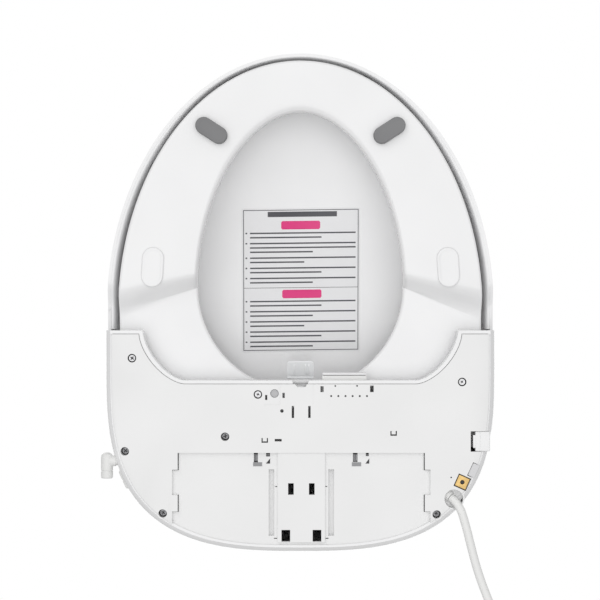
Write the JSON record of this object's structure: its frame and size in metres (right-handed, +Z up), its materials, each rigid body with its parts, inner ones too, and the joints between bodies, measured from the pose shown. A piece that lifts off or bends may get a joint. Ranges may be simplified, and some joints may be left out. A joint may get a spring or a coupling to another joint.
{
  "type": "electric bidet seat",
  "caption": "Electric bidet toilet seat: housing with wash nozzle, warm air dryer and water tank, heated seat ring, hinged lid, release button and supply cord with plug.",
  "frame": {"origin": "on the plane of the toilet rim that the base and the bumpers rest on, under the middle of the plan without the cord", "axes": "+Z up, -Y towards the front of the seat, +Y towards the housing's rear, +X towards the side where the cord leaves"},
  "size_m": [0.4097, 0.6922, 0.1192],
  "materials": {
    "gloss_white": "glossy moulded white plastic",
    "satin_white": "satin moulded white plastic",
    "grey_rubber": "matt grey rubber",
    "frosted_clear": "frosted see-through plastic",
    "black": "matt black plastic",
    "steel": "zinc-plated steel",
    "brass": "machined brass",
    "heater_foil": "copper-coloured heating foil",
    "board_green": "circuit board",
    "cord_white": "smooth off-white cord jacket"
  },
  "bodies": {
    "housing": {"base_screw_1": "steel", "base_screw_2": "steel", "base_screw_3": "steel", "base_screw_4": "steel", "base_screw_5": "steel", "base_screw_6": "steel", "base_screw_7": "steel", "blower_housing": "black", "blower_motor": "steel", "brass_insert": "brass", "control_board": "board_green", "cord_coil": "cord_white", "cord_gland": "cord_white", "drain_plug": "grey_rubber", "dryer_duct": "satin_white", "hinge_pin_left": "steel", "hinge_pin_right": "steel", "housing_base": "satin_white", "housing_top": "gloss_white", "inlet_clip": "satin_white", "inlet_elbow": "satin_white", "inlet_valve": "satin_white", "nozzle_motor": "steel", "plug_blade_line": "brass", "plug_blade_neutral": "brass", "plug_body": "cord_white", "plug_earth_pin": "brass", "plug_relief": "cord_white", "power_board": "board_green", "power_cord": "cord_white", "receiver_window": "black", "service_plug": "grey_rubber", "soft_close_damper_left": "satin_white", "soft_close_damper_right": "satin_white", "supply_hose": "frosted_clear", "tank_heater": "steel", "warm_water_tank": "satin_white"},
    "seat": {"seat_top_shell": "gloss_white", "seat_bottom_shell": "gloss_white", "seat_heater_foil": "heater_foil", "seat_bumper_left": "grey_rubber", "seat_bumper_right": "grey_rubber", "seat_pad_left": "gloss_white", "seat_pad_right": "gloss_white"},
    "lid": {"lid_shell": "gloss_white", "lid_buffer_left": "grey_rubber", "lid_buffer_right": "grey_rubber"},
    "nozzle": {"nozzle_tube": "satin_white", "nozzle_tip": "gloss_white", "nozzle_rack": "black"},
    "pinion": {"nozzle_pinion": "satin_white"},
    "shutter": {"nozzle_shutter": "frosted_clear"},
    "air_flap": {"dryer_flap": "frosted_clear"},
    "release": {"release_button": "gloss_white", "release_bar": "black"},
    "fan": {"dryer_fan": "satin_white"},
    "power_key": {"power_button": "satin_white"}
  },
  "joints": [
    {"name": "seat_hinge", "type": "hinge", "parent": "housing", "child": "seat", "pos_m": [0, 0.122, 0.066], "axis": [1, 0, 0], "range_deg": [-95, 0]},
    {"name": "lid_hinge", "type": "hinge", "parent": "seat", "child": "lid", "pos_m": [0, 0.122, 0.066], "axis": [-1, 0, 0], "range_deg": [0, 105]},
    {"name": "nozzle_slide", "type": "slide", "parent": "housing", "child": "nozzle", "axis": [0, -0.9397, -0.342], "range_m": [0, 0.08]},
    {"name": "pinion_spin", "type": "hinge", "parent": "housing", "child": "pinion", "pos_m": [0.008, 0.15772, 0.04732], "axis": [-1, 0, 0], "range_deg": [0, 790]},
    {"name": "shutter_hinge", "type": "hinge", "parent": "housing", "child": "shutter", "pos_m": [0, 0.0761, 0.021], "axis": [-1, 0, 0], "range_deg": [0, 25.5]},
    {"name": "air_flap_hinge", "type": "hinge", "parent": "housing", "child": "air_flap", "pos_m": [0.04425, 0.0724, 0.0197], "axis": [-1, 0, 0], "range_deg": [0, 60]},
    {"name": "release_press", "type": "slide", "parent": "housing", "child": "release", "axis": [-1, 0, 0], "range_m": [0, 0.0022], "stiffness_N_per_m": 500, "springref_m": -0.006},
    {"name": "fan_spin", "type": "hinge", "parent": "housing", "child": "fan", "pos_m": [0.068, 0.196, 0.025], "axis": [0, 0, 1], "continuous": true},
    {"name": "power_press", "type": "slide", "parent": "housing", "child": "power_key", "axis": [0, 0, -1], "range_m": [0, 0.0015], "stiffness_N_per_m": 300, "springref_m": -0.003}
  ],
  "couplings": [
    {"joint": "pinion_spin", "follows": "nozzle_slide", "rad_per_m": 166.67},
    {"joint": "shutter_hinge", "follows": "nozzle_slide", "rad_per_m": 5.2}
  ]
}
